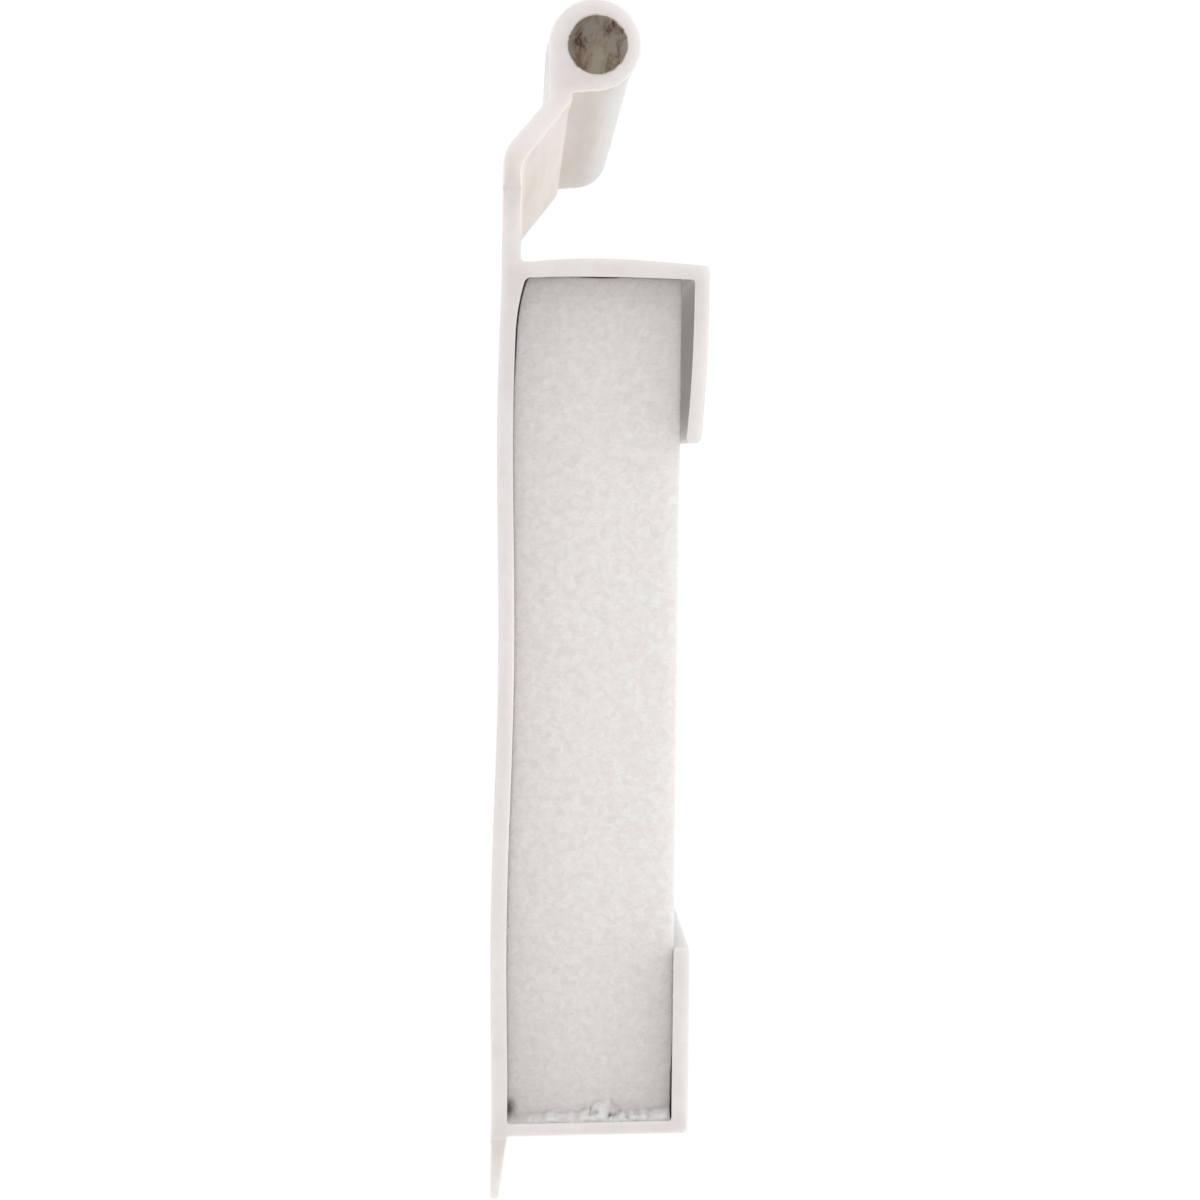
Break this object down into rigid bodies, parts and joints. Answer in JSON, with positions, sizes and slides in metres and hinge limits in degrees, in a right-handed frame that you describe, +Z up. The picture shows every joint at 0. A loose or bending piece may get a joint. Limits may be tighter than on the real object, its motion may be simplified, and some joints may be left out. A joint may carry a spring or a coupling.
{
  "type": "door sweep",
  "caption": "Length of white vinyl door sweep: lipped channel with a foam core, a hollow bulb seal along the top edge and a tapered fin along the bottom.",
  "frame": {"origin": "centre of the face wall's flat outer face: mid-length, and midway between the two flanges", "axes": "+Y along the extrusion, +Z up the face wall towards the bulb, +X out of the channel's open side"},
  "size_m": [0.011, 0.9144, 0.0632],
  "materials": {
    "rigid_vinyl": "satin",
    "soft_vinyl": "satin",
    "foam": "matte"
  },
  "bodies": {
    "channel": {"face_wall": "rigid_vinyl", "upper_flange": "rigid_vinyl", "upper_lip": "rigid_vinyl", "lower_flange": "rigid_vinyl", "lower_lip": "rigid_vinyl"},
    "bulb_seal": {"bulb_leg": "soft_vinyl", "bulb_tube": "soft_vinyl"},
    "fin": {"sweep_fin": "soft_vinyl"},
    "core": {"foam_core": "foam"}
  },
  "joints": [
    {"name": "bulb_flex", "type": "hinge", "parent": "channel", "child": "bulb_seal", "pos_m": [0.00048, 0, 0.02845], "axis": [0, 1, 0], "range_deg": [-35, 60], "stiffness_Nm_per_rad": 0.25},
    {"name": "fin_flex", "type": "hinge", "parent": "channel", "child": "fin", "pos_m": [0.00042, 0, -0.02356], "axis": [0, 1, 0], "range_deg": [-60, 60], "stiffness_Nm_per_rad": 0.15},
    {"name": "core_slide", "type": "slide", "parent": "channel", "child": "core", "axis": [0, 1, 0], "range_m": [-0.0045, 0.91]}
  ]
}
